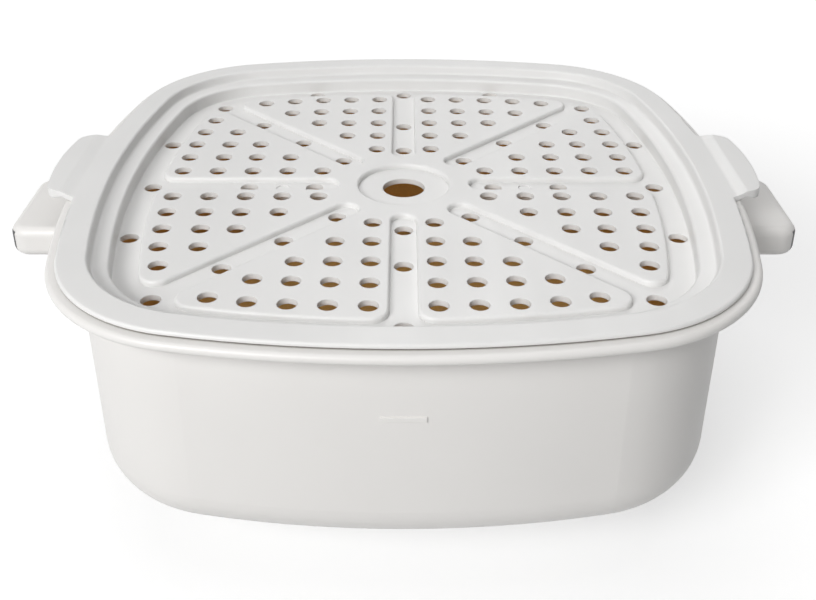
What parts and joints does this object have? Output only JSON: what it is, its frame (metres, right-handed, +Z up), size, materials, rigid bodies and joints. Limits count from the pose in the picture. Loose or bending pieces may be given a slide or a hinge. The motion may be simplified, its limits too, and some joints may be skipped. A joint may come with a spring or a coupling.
{
  "type": "electric hot pot",
  "caption": "Square electric hot pot with a lift-off perforated steamer tray, two side handles and a hidden heating base with a rear mains inlet.",
  "frame": {"origin": "on the table, under the middle of the pot", "axes": "+Z up, +X towards the right handle seen from the front, +Y towards the back, where the inlet is"},
  "size_m": [0.3556, 0.298, 0.1374],
  "materials": {
    "pot_coat": "satin off-white outside, brown non-stick inside",
    "white_plastic": "satin",
    "grey_plastic": "satin",
    "base_plastic": "fine texture",
    "black_plastic": "fine texture",
    "steel": "zinc plated",
    "aluminium": "cast and pressed",
    "sheath": "dull",
    "brass": "plain",
    "rubber": "matt",
    "lead_brown": "woven sleeve",
    "lead_blue": "woven sleeve",
    "lead_green": "woven sleeve"
  },
  "bodies": {
    "pot": {"pot_shell": "pot_coat", "left_handle": "white_plastic", "right_handle": "white_plastic", "left_handle_cover": "white_plastic", "right_handle_cover": "white_plastic", "left_handle_inlay": "grey_plastic", "right_handle_inlay": "grey_plastic", "left_handle_bracket": "steel", "right_handle_bracket": "steel", "handle_screws": "steel", "heat_plate": "aluminium", "heating_element": "sheath", "element_terminals": "brass", "thermostat": "black_plastic", "thermostat_strap": "steel", "strap_screws": "steel", "thermal_fuse": "sheath", "fuse_clip": "steel", "earth_stud": "brass", "live_lead": "lead_brown", "fuse_lead": "lead_brown", "return_lead": "lead_brown", "neutral_lead": "lead_blue", "earth_lead": "lead_green", "floor_standoffs": "aluminium", "heat_shield": "aluminium", "base_seal": "rubber", "base_cover": "base_plastic", "base_screws": "steel", "rubber_feet": "rubber", "inlet_housing": "black_plastic", "inlet_pins": "brass", "inlet_screws": "steel"},
    "tray": {"steamer_tray": "white_plastic"}
  },
  "joints": [
    {"name": "tray_lift", "type": "slide", "parent": "pot", "child": "tray", "axis": [0, 0, 1], "range_m": [0, 0.06]}
  ]
}
